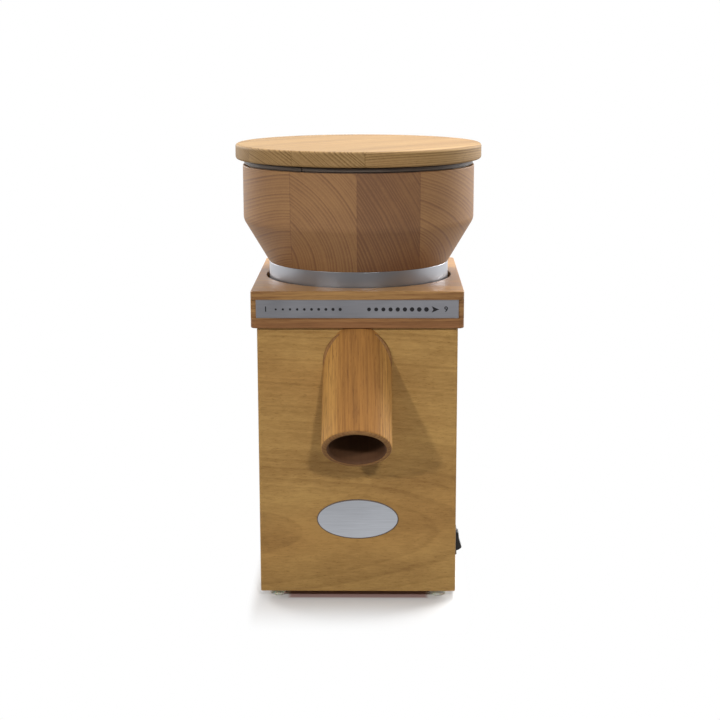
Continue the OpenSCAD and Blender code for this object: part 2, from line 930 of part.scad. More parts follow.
module terminal_block() {
    wells = 3;
    pitch = terminal_l / wells;
    well_r = 3;
    wire_r = motor_lead_r;
    color("whitesmoke") translate([terminal_x, terminal_y, z_base]) difference() {
        translate([-terminal_l / 2, -terminal_w / 2, 0]) cube([terminal_l, terminal_w, terminal_h]);
        for (i = [0 : wells - 1]) translate([(i - (wells - 1) / 2) * pitch, 0, terminal_h / 2]) {
            for (y = SIGNS * terminal_w / 4) translate([0, y, 0]) cylinder(r = well_r, h = terminal_h);
            for (s = SIGNS) translate([0, s * terminal_w / 4, 0]) rotate([-90 * s, 0, 0])
                cylinder(r = wire_r, h = terminal_w);
        }
    }
}

module switch_housing() {
    well_w = switch_body_w - 2 * switch_wall;
    well_h = switch_body_h - 2 * switch_wall;
    color("black") on_switch() difference() {
        union() {
            translate([0, -bezel_w / 2, -bezel_h / 2]) cube([bezel_t, bezel_w, bezel_h]);
            translate([-switch_depth, -switch_body_w / 2 + cut_fit, -switch_body_h / 2 + cut_fit])
                cube([switch_depth + over, switch_body_w - 2 * cut_fit, switch_body_h - 2 * cut_fit]);
        }
        translate([-rocker_well, -well_w / 2, -well_h / 2]) cube([switch_depth, well_w, well_h]);
        rocker_pivot(pivot_r + pivot_fit, pivot_l + pivot_fit);
    }
}

module rocker_pivot(r, reach) {
    half = rocker_w / 2 + reach;
    translate([0, half, 0]) rotate([90, 0, 0]) cylinder(r = r, h = 2 * half);
}

// Tipped so that its lower end stands out
module switch_rocker() {
    color("black") on_switch() rotate([0, -rocker_tilt, 0]) {
        translate([0, rocker_w / 2, 0]) rotate([90, 0, 0]) linear_extrude(rocker_w) intersection() {
            circle(r = rocker_r);
            polygon([[-rocker_floor, -rocker_r], [rocker_rise, -rocker_r],
                [rocker_rise - rocker_dip, 0], [rocker_rise, rocker_r], [-rocker_floor, rocker_r]]);
        }
        rocker_pivot(pivot_r, pivot_l);
    }
}

module switch_terminals() {
    color("goldenrod") on_switch() for (i = [-1 : 1])
        translate([-switch_depth - blade_l, -blade_w / 2, i * blade_pitch - blade_t / 2])
            cube([blade_l, blade_w, blade_t]);
}

module cord_gland() {
    inner_l = front_t + gland_nut_t;
    color("black") on_gland() difference() {
        union() {
            cylinder(r1 = gland_flange_r, r2 = gland_flange_r - 1, h = gland_flange_t);
            translate([0, 0, -inner_l]) cylinder(r = gland_body_r, h = inner_l + over);
            translate([0, 0, -inner_l]) cylinder(r = gland_flange_r, h = gland_nut_t, $fn = 6);
        }
        translate([0, 0, -inner_l - over])
            cylinder(r = cord_bore_r, h = inner_l + gland_flange_t + 2 * over);
    }
}

// ---------------------------------------------------------------- inner leads

function bezier(p, t) = pow(1 - t, 3) * p[0] + 3 * t * pow(1 - t, 2) * p[1]
    + 3 * t * t * (1 - t) * p[2] + pow(t, 3) * p[3];
function unit(v) = v / norm(v);

// A round lead swept along a Bezier curve; the lead never runs along the vector called across
module lead(p, r, across) {
    rings = 20;
    sides = 8;
    path = [for (i = [0 : rings]) bezier(p, i / rings)];
    heading = [for (i = [0 : rings]) i == 0 ? unit(p[1] - p[0])
        : i == rings ? unit(p[3] - p[2]) : unit(path[i + 1] - path[i - 1])];
    points = [for (i = [0 : rings]) let (side = unit(cross(heading[i], across)),
        up = cross(side, heading[i])) for (k = [0 : sides - 1]) let (a = 360 * k / sides)
            path[i] + r * (cos(a) * side + sin(a) * up)];
    walls = [for (i = [0 : rings - 1], k = [0 : sides - 1]) let (n = (k + 1) % sides)
        [i * sides + k, (i + 1) * sides + k, (i + 1) * sides + n, i * sides + n]];
    ends = [[for (k = [0 : sides - 1]) k], [for (k = [sides - 1 : -1 : 0]) rings * sides + k]];
    polyhedron(points, concat(walls, ends));
}

module switch_leads() {
    color("saddlebrown") for (s = SIGNS) {
        from = [wall_x - switch_depth - blade_l, switch_y, switch_z + s * blade_pitch];
        to = [terminal_x + s * terminal_l / 3, terminal_y - terminal_w / 2, z_base + terminal_h / 2];
        lead([from, from - [lead_out, 0, 0], to - [0, lead_in, 0], to], lead_r, [0, 0, 1]);
    }
}

module motor_lead() {
    from = [terminal_x + terminal_l / 3, terminal_y + terminal_w / 2, z_base + terminal_h / 2];
    outwards = [cos(45), sin(45), 0];
    to = (motor_r + motor_lead_gap) * outwards + [0, 0, z_shield + shield_h / 2];
    color("dimgray") lead([from, from + [0, motor_lead_out, 0], to + motor_lead_in * outwards, to],
        motor_lead_r, [1, -1, 0.2]);
}

// ---------------------------------------------------------------- nodes

front_panel();
rear_panel();
left_panel();
right_panel();
base_plate();
base_blocks();
top_blocks();
base_screws();
frame_screws();
feet();
top_frame();
scale_plate();
badge_plate();
spout();
milling_chamber();
chamber_screws();
thread_ring();
outlet_gasket();
shaft_seal();
dust_seal();
hopper_bowl();
hopper_ring();
rim_band();
feed_throat();
bowl_screws();
stone_holder();
holder_screws();
upper_stone();
lid();
lower_stone();
stone_carrier();
stone_washer();
stone_nut();
motor_shaft();
rotor_core();
cooling_fan();
stator_core();
stator_windings();
upper_shield();
lower_shield();
upper_bearing();
lower_bearing();
motor_bolts();
capacitor();
capacitor_clip();
terminal_block();
switch_housing();
switch_terminals();
switch_leads();
motor_lead();
cord_gland();
switch_rocker();
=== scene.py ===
"""Looks of the electric grain mill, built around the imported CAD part. Metres, +Z up, the front faces -Y."""

import math

import bmesh
import bpy
from mathutils import Matrix, Vector


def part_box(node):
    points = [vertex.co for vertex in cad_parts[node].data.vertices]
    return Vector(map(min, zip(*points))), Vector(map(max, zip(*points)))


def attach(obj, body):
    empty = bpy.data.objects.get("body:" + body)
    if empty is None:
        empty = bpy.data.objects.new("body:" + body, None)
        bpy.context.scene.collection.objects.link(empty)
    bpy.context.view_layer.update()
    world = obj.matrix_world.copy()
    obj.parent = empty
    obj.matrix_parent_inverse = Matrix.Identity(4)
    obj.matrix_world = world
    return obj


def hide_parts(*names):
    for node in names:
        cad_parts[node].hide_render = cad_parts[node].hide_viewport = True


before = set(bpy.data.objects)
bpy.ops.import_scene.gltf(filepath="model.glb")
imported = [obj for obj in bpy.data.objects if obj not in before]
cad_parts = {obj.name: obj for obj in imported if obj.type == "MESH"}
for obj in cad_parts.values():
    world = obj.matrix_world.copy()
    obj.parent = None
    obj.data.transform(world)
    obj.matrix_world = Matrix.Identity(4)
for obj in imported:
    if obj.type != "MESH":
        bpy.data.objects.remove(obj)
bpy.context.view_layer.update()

MM = 0.001

# ---------------------------------------------------------------- sizes taken from the frame

front_low, front_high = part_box("front_panel")
frame_low, frame_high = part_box("top_frame")
plate_low, plate_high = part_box("scale_plate")
badge_low, badge_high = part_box("badge_plate")
ring_low, ring_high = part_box("hopper_ring")
bowl_low, bowl_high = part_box("hopper_bowl")
band_low, band_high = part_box("rim_band")
lid_low, lid_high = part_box("lid")
_, chamber_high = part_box("milling_chamber")
_, seal_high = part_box("dust_seal")
_, throat_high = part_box("feed_throat")
_, feet_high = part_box("feet")
_, spout_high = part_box("spout")
switch_low, switch_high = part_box("switch_housing")
rocker_low, rocker_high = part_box("switch_rocker")

FRONT_Y = front_low.y
FLANGE_T = 5 * MM  # the milling chamber's flange, which rests on a ledge in the frame
THROAT_HOLE_R = 16.05 * MM  # the hole for the feed throat, through the bowl's floor and the ring's disc

# ---------------------------------------------------------------- meshes

SHARP_ANGLE = math.radians(35)  # faces that meet at less than this shade as one
MERGE_WITHIN = 1e-7  # metres


def filleted(corners, steps=6):
    """A closed outline from (x, y, radius) corners; a corner with a radius becomes an arc."""
    points = []
    for i, (x, y, radius) in enumerate(corners):
        here = Vector((x, y))
        if not radius:
            points.append(here)
            continue
        before = (Vector(corners[i - 1][:2]) - here).normalized()
        after = (Vector(corners[(i + 1) % len(corners)][:2]) - here).normalized()
        half = before.angle(after) / 2
        centre = here + (before + after).normalized() * radius / math.sin(half)
        first = here + before * radius / math.tan(half) - centre
        last = here + after * radius / math.tan(half) - centre
        sweep = first.angle_signed(last)
        points += [centre + Matrix.Rotation(-sweep * k / steps, 2) @ first for k in range(steps + 1)]
    return points


def finished_mesh(name, points, faces):
    """A clean closed mesh that shades smooth below the sharp angle."""
    mesh = bpy.data.meshes.new(name)
    mesh.from_pydata(points, [], faces)
    work = bmesh.new()
    work.from_mesh(mesh)
    bmesh.ops.remove_doubles(work, verts=work.verts, dist=MERGE_WITHIN)
    bmesh.ops.dissolve_degenerate(work, edges=work.edges, dist=MERGE_WITHIN)
    bmesh.ops.recalc_face_normals(work, faces=work.faces)
    work.to_mesh(mesh)
    work.free()
    mesh.shade_smooth()
    mesh.set_sharp_from_angle(angle=SHARP_ANGLE)
    return mesh


def skinned(name, rings, around=True):
    """A mesh through rings of equally many points, the last ring joined to the first. Where the rings are
    open (around is False), an end face closes each of their ends."""
    count = len(rings[0])
    points = [point for ring in rings for point in ring]
    faces = []
    for i in range(len(rings)):
        j = (i + 1) % len(rings)
        for k in range(count - (not around)):
            n = (k + 1) % count
            faces.append((i * count + k, i * count + n, j * count + n, j * count + k))
    if not around:
        faces.append([i * count for i in range(len(rings))])
        faces.append([i * count + count - 1 for i in range(len(rings))])
    return finished_mesh(name, points, faces)


def capped(name, rings):
    """A mesh through closed rings, with the first and the last one filled."""
    count = len(rings[0])
    points = [point for ring in rings for point in ring]
    faces = [tuple(range(count)), tuple(range((len(rings) - 1) * count, len(rings) * count))]
    for i in range(len(rings) - 1):
        for k in range(count):
            n = (k + 1) % count
            faces.append((i * count + k, i * count + n, (i + 1) * count + n, (i + 1) * count + k))
    return finished_mesh(name, points, faces)


def at_azimuth(radius, azimuth, z):
    """The point at that radius from the mill's axis; azimuth 0 is the front and 90 the right side."""
    a = math.radians(azimuth)
    return Vector((radius * math.sin(a), -radius * math.cos(a), z))


def turned(name, outline, azimuths, around=True):
    """The (radius, z) outline turned about the mill's axis."""
    rings = [[at_azimuth(r, a, z) for a in azimuths] for r, z in outline]
    return skinned(name, rings, around)


def full_turn(count=240):
    """Evenly spaced degrees round a circle."""
    return [360 * k / count for k in range(count)]


def joined(name, meshes):
    """One mesh out of several."""
    work = bmesh.new()
    for mesh in meshes:
        work.from_mesh(mesh)
        bpy.data.meshes.remove(mesh)
    made = bpy.data.meshes.new(name)
    work.to_mesh(made)
    work.free()
    return made


def even_normals(thing):
    """Keeps flat faces flat beside small rounded edges."""
    normals = thing.modifiers.new("even_normals", "WEIGHTED_NORMAL")
    normals.keep_sharp = True


def piece(mesh, body, slot, replaced, *materials):
    """Puts a finished mesh in the scene as a piece that rides on a body and stands for CAD nodes."""
    made = bpy.data.objects.new(mesh.name, mesh)
    bpy.context.scene.collection.objects.link(made)
    for material in materials:
        mesh.materials.append(material)
    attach(made, body)
    if replaced:
        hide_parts(*replaced)
    even_normals(made)


# ---------------------------------------------------------------- shader helpers


class Finish:
    """A material. Most methods add a node and return its output socket; feed and set fill sockets in."""

    def __init__(self, name, **sockets):
        self.material = bpy.data.materials.new(name)
        self.material.use_nodes = True
        self.tree = self.material.node_tree
        self.shader = self.tree.nodes["Principled BSDF"]
        for socket, value in sockets.items():
            self.shader.inputs[socket.replace("_", " ")].default_value = value

    def add(self, kind, inputs, output=0, **settings):
        node = self.tree.nodes.new("ShaderNode" + kind)
        for key, value in settings.items():
            setattr(node, key, value)
        for key, value in inputs.items():
            self.feed(node.inputs[key], value)
        return node.outputs[output]

    def feed(self, socket, value):
        if isinstance(value, bpy.types.NodeSocket):
            self.tree.links.new(value, socket)
        else:
            socket.default_value = value

    def set(self, **sockets):
        for socket, value in sockets.items():
            self.feed(self.shader.inputs[socket.replace("_", " ")], value)

    def math(self, operation, *values, clamp=False):
        return self.add("Math", dict(enumerate(values)), operation=operation, use_clamp=clamp)

    def vector(self, operation, *values, output=0):
        return self.add("VectorMath", dict(enumerate(values)), output, operation=operation)

    def place(self):
        """The point in the piece's own coordinates, in metres."""
        return self.add("TexCoord", {}, "Object")

    def axes(self, vector):
        node = self.tree.nodes.new("ShaderNodeSeparateXYZ")
        self.feed(node.inputs[0], vector)
        return node.outputs

    def point(self, x, y, z):
        return self.add("CombineXYZ", {0: x, 1: y, 2: z})

    def noise(self, place, scale, detail=2.0, roughness=0.5, output=0):
        """Noise whose grain is 1 / scale metres along each axis."""
        stretched = self.vector("MULTIPLY", place, scale if isinstance(scale, tuple) else (scale,) * 3)
        return self.add("TexNoise", {"Vector": stretched, "Scale": 1.0, "Detail": detail,
                                     "Roughness": roughness}, output)

    def line_noise(self, value, scale, detail=1.0):
        return self.add("TexNoise", {"W": value, "Scale": scale, "Detail": detail},
                        noise_dimensions="1D")

    def chance(self, value):
        """A random number from 0 to 1 that stays the same for the same value."""
        return self.add("TexWhiteNoise", {"W": value}, noise_dimensions="1D")

    def span(self, value, low, high, to_low=0.0, to_high=1.0, soft=True):
        kind = "SMOOTHSTEP" if soft else "LINEAR"
        return self.add("MapRange", {0: value, 1: low, 2: high, 3: to_low, 4: to_high},
                        interpolation_type=kind)

    def mix(self, share, a, b, blend="MIX"):
        return self.add("Mix", {0: share, 6: a, 7: b}, 2, data_type="RGBA", blend_type=blend)

    def bump(self, height, distance, strength):
        return self.add("Bump", {"Height": height, "Distance": distance, "Strength": strength})


def colour(red, green, blue):
    """A colour written as on a screen, 0 to 255, made linear for a shader by the sRGB curve."""
    values = [v / 255 for v in (red, green, blue)]
    return (*[v / 12.92 if v <= 0.04045 else ((v + 0.055) / 1.055) ** 2.4 for v in values], 1.0)


# ---------------------------------------------------------------- wood

# How fine each noise is along and across the pith, in 1 / metres
DRIFT_GRAIN = (5.0, 22.0, 22.0)
FIBRE_GRAIN = (34.0, 800.0, 800.0)
CLOUD_GRAIN = (7.0, 40.0, 40.0)
FLECK_GRAIN = (130.0, 1700.0, 1700.0)
WARMTH_GRAIN = (4.0, 18.0, 18.0)
RING_GRAIN = 130.0
RING_UNEVEN = 2.2  # how many rings that noise pushes the growth rings in and out
GLUE_FADE = (0.1 * MM, 0.4 * MM)  # how far from a joint the glue line starts to fade and how far it ends
GLUE_DARK = 0.3
WOOD_BUMP = 0.05 * MM


def log_place(finish, boards, along, across):
    """Each point's place in the log that its board was sawn from, with X along the pith, the board's own
    shade, and how near a glue line is. boards holds (edge, pith, shade) in order along across; a board
    reaches up to its edge."""
    place = finish.place()
    reach = finish.vector("DOT_PRODUCT", place, across, output=1)
    edge, pith, shade = boards[0]
    glue = 0.0
    for following, next_pith, next_shade in boards[1:]:
        past = finish.math("GREATER_THAN", reach, edge)
        pith = finish.add("Mix", {0: past, 4: pith, 5: next_pith}, 1, data_type="VECTOR")
        shade = finish.add("Mix", {0: past, 2: shade, 3: next_shade})
        off = finish.math("ABSOLUTE", finish.math("SUBTRACT", reach, edge))
        glue = finish.math("MAXIMUM", finish.span(off, *GLUE_FADE, 1.0, 0.0), glue)
        edge = following
    turn = Vector(along).rotation_difference(Vector((1, 0, 0))).to_euler()
    log = finish.add("Mapping", {"Vector": finish.vector("SUBTRACT", place, pith), "Rotation": turn})
    return log, shade, glue


def wood(name, tones, boards, along, across=(1.0, 0.0, 0.0), ring=2.6, rings=0.4, fibres=0.3, clouds=0.4,
         flecks=0.2, warp=2.0, roughness=0.42, heart=0.0, gloss=0.3):
    """Oiled wood. tones are its light, dark and red tone; ring is a growth ring's width, warp how far the
    rings wander and heart how far the red heartwood reaches from the pith, in mm; rings, fibres, clouds and
    flecks are how strongly each shows."""
    finish = Finish(name, Specular_IOR_Level=gloss)
    light, dark, red = (colour(*tone) for tone in tones)
    log, shade, glue = log_place(finish, boards, along, across)
    drift = finish.vector("SUBTRACT", finish.noise(log, DRIFT_GRAIN, 2.0, output=1), (0.5, 0.5, 0.5))
    wander = finish.vector("MULTIPLY", drift, (0, 2 * warp * MM, 2 * warp * MM))
    from_pith = finish.vector("MULTIPLY", finish.vector("ADD", log, wander), (0, 1, 1))
    across_log = finish.vector("LENGTH", from_pith, output=1)
    uneven = finish.math("MULTIPLY", finish.line_noise(across_log, RING_GRAIN), RING_UNEVEN)
    count = finish.math("ADD", finish.math("DIVIDE", across_log, ring * MM), uneven)

    # The late wood of a ring darkens slowly and ends sharply, more in some rings than in others
    within = finish.math("FRACT", count)
    late = finish.math("MULTIPLY", finish.span(within, 0.1, 0.75), finish.span(within, 0.8, 1.0, 1.0, 0.0))
    luck = finish.chance(finish.math("FLOOR", count))
    late = finish.math("MULTIPLY", late, finish.math("ADD", finish.math("MULTIPLY", luck, 0.9), 0.3))

    fibre = finish.math("SUBTRACT", finish.noise(log, FIBRE_GRAIN, 3.0, 0.6), 0.5)
    cloud = finish.math("SUBTRACT", finish.noise(log, CLOUD_GRAIN, 3.0, 0.55), 0.5)
    fleck = finish.span(finish.noise(log, FLECK_GRAIN, 1.0), 0.6, 0.72)
    shade = finish.math("ADD", shade, finish.math("MULTIPLY", late, rings))
    shade = finish.math("ADD", shade, finish.math("MULTIPLY", fibre, 2 * fibres))
    shade = finish.math("ADD", shade, finish.math("MULTIPLY", cloud, 2 * clouds))
    shade = finish.math("ADD", shade, finish.math("MULTIPLY", glue, GLUE_DARK))
    shade = finish.math("ADD", shade, finish.math("MULTIPLY", fleck, flecks), clamp=True)

    warmth = finish.math("MULTIPLY", finish.span(finish.noise(log, WARMTH_GRAIN, 1.0), 0.4, 0.75), 0.5)
    if heart:
        core = finish.span(across_log, 0.5 * heart * MM, heart * MM, 0.8, 0.0)
        warmth = finish.math("MAXIMUM", warmth, core)
    tone = finish.mix(shade, finish.mix(warmth, light, red), dark)

    height = finish.math("SUBTRACT", finish.math("MULTIPLY", fibre, 0.6),
                         finish.math("MULTIPLY", fleck, 0.5))
    height = finish.math("SUBTRACT", height, finish.math("MULTIPLY", late, 0.2))
    finish.set(Base_Color=tone, Normal=finish.bump(height, WOOD_BUMP, 0.5),
               Roughness=finish.span(shade, 0.0, 1.0, roughness + 0.05, roughness - 0.05, soft=False))
    return finish.material


def one_board(pith, shade=0.3):
    """The boards of a piece cut from one board, whose edge lies past anything in the scene."""
    return [(1.0, pith, shade)]


# Each wood's light, dark and red tone
HOUSING_TONES = (193, 152, 88), (145, 106, 56), (180, 127, 67)
FRAME_TONES = (176, 134, 81), (126, 86, 52), (154, 103, 67)
SPOUT_TONES = (207, 155, 83), (136, 90, 43), (165, 111, 53)
# The end tones are darker end grain, darkened further as painted shade on the mouth's downward-facing end and
# on the seat, where they draw the dark line round the spout's root
SPOUT_END_GRAIN_AND_SHADE_TONES = (166, 122, 72), (120, 82, 46), (142, 98, 56)
# The bore's tones are much darker than the spout's own wood: painted shade inside the hole
BORE_PAINTED_SHADE_TONES = (106, 71, 44), (68, 43, 27), (94, 59, 38)
BOWL_TONES = (177, 134, 89), (125, 90, 66), (152, 107, 73)
LID_TONES = (180, 145, 96), (120, 90, 49), (166, 121, 71)
BLOCK_TONES = (196, 160, 112), (150, 112, 70), (186, 138, 90)

panel_tilt = math.radians(10)
front_wood = wood("front_wood", HOUSING_TONES, one_board((0, FRONT_Y + 35 * MM, 50 * MM), 0.25),
                  (math.cos(panel_tilt), math.sin(panel_tilt), 0), ring=9.0, rings=0.25, fibres=0.5,
                  clouds=0.9, flecks=0.35, warp=5.0)
rear_wood = wood("rear_wood", HOUSING_TONES, one_board((0, -FRONT_Y - 42 * MM, 120 * MM)), (1, 0.12, 0.02),
                 ring=8.0, warp=4.0)
left_wood = wood("left_wood", HOUSING_TONES, one_board((-31 * MM, 0, 96 * MM)), (0.1, 1, 0.03),
                 ring=8.0, warp=4.0)
right_wood = wood("right_wood", HOUSING_TONES, one_board((24 * MM, 0, 70 * MM)), (-0.14, 1, -0.02),
                  ring=8.0, warp=4.0)
frame_wood = wood("frame_wood", FRAME_TONES, one_board((0, FRONT_Y - 2 * MM, 190 * MM)), (1, -0.03, 0.02),
                  ring=3.4, fibres=0.9, clouds=0.9, flecks=0.3, heart=26, gloss=0.26)
# With this pith and heart, a darker, redder stripe runs down the middle of the spout's upper front face, its
# whole length
spout_pith = (2 * MM, FRONT_Y - 8 * MM, 204 * MM)
spout_wood = wood("spout_wood", SPOUT_TONES, one_board(spout_pith, 0.15), (0.02, -1, -1), ring=3.0,
                  rings=0.3, fibres=1.1, clouds=0.6, flecks=0.6, warp=3.0, roughness=0.7, heart=26)
spout_end_grain_and_shade_wood = wood("spout_end_grain_and_shade_wood", SPOUT_END_GRAIN_AND_SHADE_TONES, one_board(spout_pith), (0.02, -1, -1),
                      roughness=0.7)
# Painted shade: the inside of the spout's bore takes these dark tones
bore_painted_shade_wood = wood("bore_painted_shade_wood", BORE_PAINTED_SHADE_TONES, one_board((36 * MM, FRONT_Y, 190 * MM)), (0.03, -1, -1), rings=0.1,
                 fibres=0.1, clouds=0.2, flecks=0.0, roughness=0.7)
block_wood = wood("block_wood", BLOCK_TONES, one_board((0, 0, 40 * MM)), (0, 0, 1), ring=2.2)
base_wood = wood("base_wood", BLOCK_TONES, one_board((0, 0, -60 * MM)), (1, 0, 0), ring=2.2)

# ---------------------------------------------------------------- bowl

BOWL_FOOT_H = 31.5 * MM
BOWL_WALL = 11.4 * MM
BOWL_FLOOR_T = 12 * MM
BOWL_SLOPE_H = 26 * MM
BOWL_FOOT_ROUND = 0.4 * MM
BOWL_KNEE_ROUND = 10 * MM
BOWL_RIM_ROUND = 0.8 * MM
BOWL_INNER_ROUND = 8 * MM
# The bowl is turned from four boards glued side by side. Each board's right edge, the place of its pith
# across and up, in mm, and its shade
BOWL_BOARDS = [(-47, -42, 215, 0.3), (0, -84, 237, 0.4), (44, -150, 190, 0.68), (91, 28, 240, 0.35)]


def bowl_mesh():
    inner_r = bowl_high.x - BOWL_WALL
    floor_z = bowl_low.z + BOWL_FLOOR_T
    return turned("turned_bowl", filleted([
        (ring_high.x, bowl_low.z, BOWL_FOOT_ROUND), (bowl_high.x, bowl_low.z + BOWL_FOOT_H, BOWL_KNEE_ROUND),
        (bowl_high.x, bowl_high.z, BOWL_RIM_ROUND), (inner_r, bowl_high.z, BOWL_RIM_ROUND),
        (inner_r, floor_z + BOWL_SLOPE_H, BOWL_INNER_ROUND), (throat_high.x, floor_z, 0),
        (THROAT_HOLE_R, floor_z, 0), (THROAT_HOLE_R, bowl_low.z, 0)]), full_turn())


bowl_boards = [(edge * MM, (x * MM, 0, z * MM), shade) for edge, x, z, shade in BOWL_BOARDS]
bowl_wood = wood("bowl_wood", BOWL_TONES, bowl_boards, (0, 1, 0), ring=2.2, rings=0.44, fibres=0.2,
                 clouds=0.3, flecks=0.1, warp=1.5, roughness=0.5, gloss=0.15)
piece(bowl_mesh(), "hopper", "hopper_wood", ["hopper_bowl"], bowl_wood)

# ---------------------------------------------------------------- lid

LID_STEP_PLAY = 0.4 * MM  # between the step under the lid and the bowl's inside
LID_STEP_ROUND = 0.8 * MM
LID_ROUND = 2 * MM
LID_GRAIN = -45  # azimuth that the lid's boards run to
# Each board's edge, the place of its pith across and up, in mm, and its shade
LID_BOARDS = [(-21.2, -100, 200, 0.35), (23.4, -45, 214, 0.3), (68, -35, 235, 0.35), (113, 90, 180, 0.15)]


def lid_mesh():
    step_r = bowl_high.x - BOWL_WALL - LID_STEP_PLAY
    rim_z = band_high.z
    return turned("lid_disc", filleted([
        (0, lid_low.z, 0), (step_r, lid_low.z, LID_STEP_ROUND), (step_r, rim_z, 0),
        (lid_high.x, rim_z, LID_ROUND), (lid_high.x, lid_high.z, LID_ROUND),
        (0, lid_high.z, 0)]), full_turn())


lid_across = at_azimuth(1, LID_GRAIN + 90, 0)
lid_boards = [(edge * MM, lid_across * w * MM + Vector((0, 0, z * MM)), shade)
              for edge, w, z, shade in LID_BOARDS]
lid_wood = wood("lid_wood", LID_TONES, lid_boards, at_azimuth(1, LID_GRAIN, 0), lid_across, ring=1.7,
                rings=0.6, fibres=0.3, clouds=0.3, warp=1.0, roughness=0.68, gloss=0.3)
piece(lid_mesh(), "lid", "lid_wood", ["lid"], lid_wood)

# ---------------------------------------------------------------- metals

BRUSH_GRAIN = 60  # of the scratches along an axis whose direction is 1, in 1 / metres


def brushed(name, tone, roughness, direction, scratch):
    """Brushed metal; direction is how fine the scratches are along each axis, scratch their depth in mm."""
    finish = Finish(name, Metallic=1.0, Roughness=roughness)
    lines = finish.noise(finish.place(), tuple(BRUSH_GRAIN * d for d in direction), 3.0, 0.6)
    cloud = finish.noise(finish.place(), 30.0, 2.0)
    base = colour(*tone)
    dim = finish.span(lines, 0.3, 0.7, 0.92, 1.04, soft=False)
    uneven = finish.span(cloud, 0.3, 0.7, roughness - 0.04, roughness + 0.04)
    finish.set(Base_Color=finish.mix(1.0, base, finish.point(dim, dim, dim), "MULTIPLY"),
               Roughness=finish.math("ADD", uneven, finish.math("MULTIPLY", lines, 0.06)),
               Normal=finish.bump(lines, scratch * MM, 0.4))
    return finish.material


def spun_metal():
    """Aluminium turned on a lathe: fine lines run round the axis."""
    finish = Finish("spun_aluminium", Metallic=1.0, Roughness=0.36)
    lines = finish.line_noise(finish.axes(finish.place())["Z"], 4200.0, 3.0)
    dim = finish.span(lines, 0.3, 0.7, 0.93, 1.03, soft=False)
    base = finish.mix(1.0, colour(172, 173, 178), finish.point(dim, dim, dim), "MULTIPLY")
    finish.set(Base_Color=base, Roughness=finish.span(lines, 0.2, 0.8, 0.32, 0.42, soft=False),
               Normal=finish.bump(lines, 0.02 * MM, 0.3))
    return finish.material


ring_metal = spun_metal()
scale_metal = brushed("scale_metal", (184, 184, 190), 0.42, (1.0, 40.0, 40.0), 0.02)
badge_metal = brushed("badge_metal", (222, 225, 232), 0.4, (1.0, 30.0, 30.0), 0.02)


def plain(name, tone, roughness, speck=0.12, scale=900.0, bump=0.04, **sockets):
    """Moulded plastic, rubber or paint with a fine surface grain. speck is how much its tone varies, and
    bump the grain's height in mm."""
    finish = Finish(name, **sockets)
    grain = finish.noise(finish.place(), scale, 3.0, 0.6)
    patch = finish.noise(finish.place(), 40.0, 2.0)
    base = colour(*tone)
    darker = (*(c * (1 - speck) for c in base[:3]), 1.0)
    lighter = (*(min(1.0, c * (1 + speck)) for c in base[:3]), 1.0)
    share = finish.math("ADD", finish.math("MULTIPLY", grain, 0.6), finish.math("MULTIPLY", patch, 0.4))
    finish.set(Base_Color=finish.mix(finish.span(share, 0.35, 0.65), darker, lighter),
               Roughness=finish.span(grain, 0.3, 0.7, roughness - 0.05, roughness + 0.05),
               Normal=finish.bump(grain, bump * MM, 0.5))
    return finish.material


band_rubber = plain("band_rubber", (86, 74, 64), 0.55)
foot_rubber = plain("foot_rubber", (240, 226, 200), 0.5, Subsurface_Weight=0.3)
switch_plastic = plain("switch_plastic", (26, 24, 25), 0.38)
mark_ink = plain("mark_ink", (20, 19, 24), 0.5, bump=0.0)
white_ink = plain("white_ink", (225, 225, 220), 0.5, bump=0.0)
# A dark grey-brown ring along the badge's edge
dark_rim = plain("badge_rim_paint", (104, 92, 84), 0.45, bump=0.0)

# ---------------------------------------------------------------- ring and band

RING_SKIRT_T = 3 * MM
RING_DISC_T = 3 * MM
RING_EASED = 0.3 * MM
RING_LIP_ROUND = 0.5 * MM
RING_INNER_ROUND = 1.2 * MM


def hopper_ring_mesh():
    inner_r = ring_high.x - RING_SKIRT_T
    disc_z = ring_high.z - RING_DISC_T
    return turned("spun_ring", filleted([
        (inner_r, ring_low.z, RING_EASED), (ring_high.x, ring_low.z, RING_LIP_ROUND),
        (ring_high.x, ring_high.z, RING_EASED), (THROAT_HOLE_R, ring_high.z, 0), (THROAT_HOLE_R, disc_z, 0),
        (inner_r, disc_z, RING_INNER_ROUND)], 4), full_turn())


piece(hopper_ring_mesh(), "hopper", "ring_metal", ["hopper_ring"], ring_metal)

BAND_W = 8 * MM
BAND_SLIT = 0.6 * MM
BAND_SLIT_AZIMUTH = -27
BAND_GROOVE = 0.8 * MM
BAND_EASED = 0.3 * MM
BAND_INNER_EASED = 0.4 * MM
BAND_STEPS = 236


def band_mesh():
    """A flat strip whose outer face stands proud between two narrow grooves."""
    outer, inner = band_high.x, band_high.x - BAND_W
    low, high = band_low.z, band_high.z
    back = outer - 2 * BAND_GROOVE
    half_slit = math.degrees(BAND_SLIT / 2 / outer)
    azimuths = [BAND_SLIT_AZIMUTH + half_slit + (360 - 2 * half_slit) * k / BAND_STEPS
                for k in range(BAND_STEPS + 1)]
    return turned("band_strip", filleted([
        (inner, low, BAND_INNER_EASED), (back, low, 0), (back, low + BAND_GROOVE, 0),
        (outer, low + BAND_GROOVE, BAND_EASED), (outer, high - BAND_GROOVE, BAND_EASED),
        (back, high - BAND_GROOVE, 0), (back, high, 0), (inner, high, BAND_INNER_EASED)], 3),
        azimuths, around=False)


piece(band_mesh(), "hopper", "band_rubber", ["rim_band"], band_rubber)

# ---------------------------------------------------------------- top frame with its groove

FRAME_EDGE_R = 3 * MM  # the four upright edges
FRAME_ROUND = 0.7 * MM  # the edges of the upper face
FRAME_FOOT_ROUND = 1 * MM  # the lower edge
FRAME_NECK_R = 50.9 * MM  # the hole below the ledge
SEAL_PLAY = 0.08 * MM  # between the dust seal and the hole above the ledge
GROOVE_DEPTH = 2 * MM


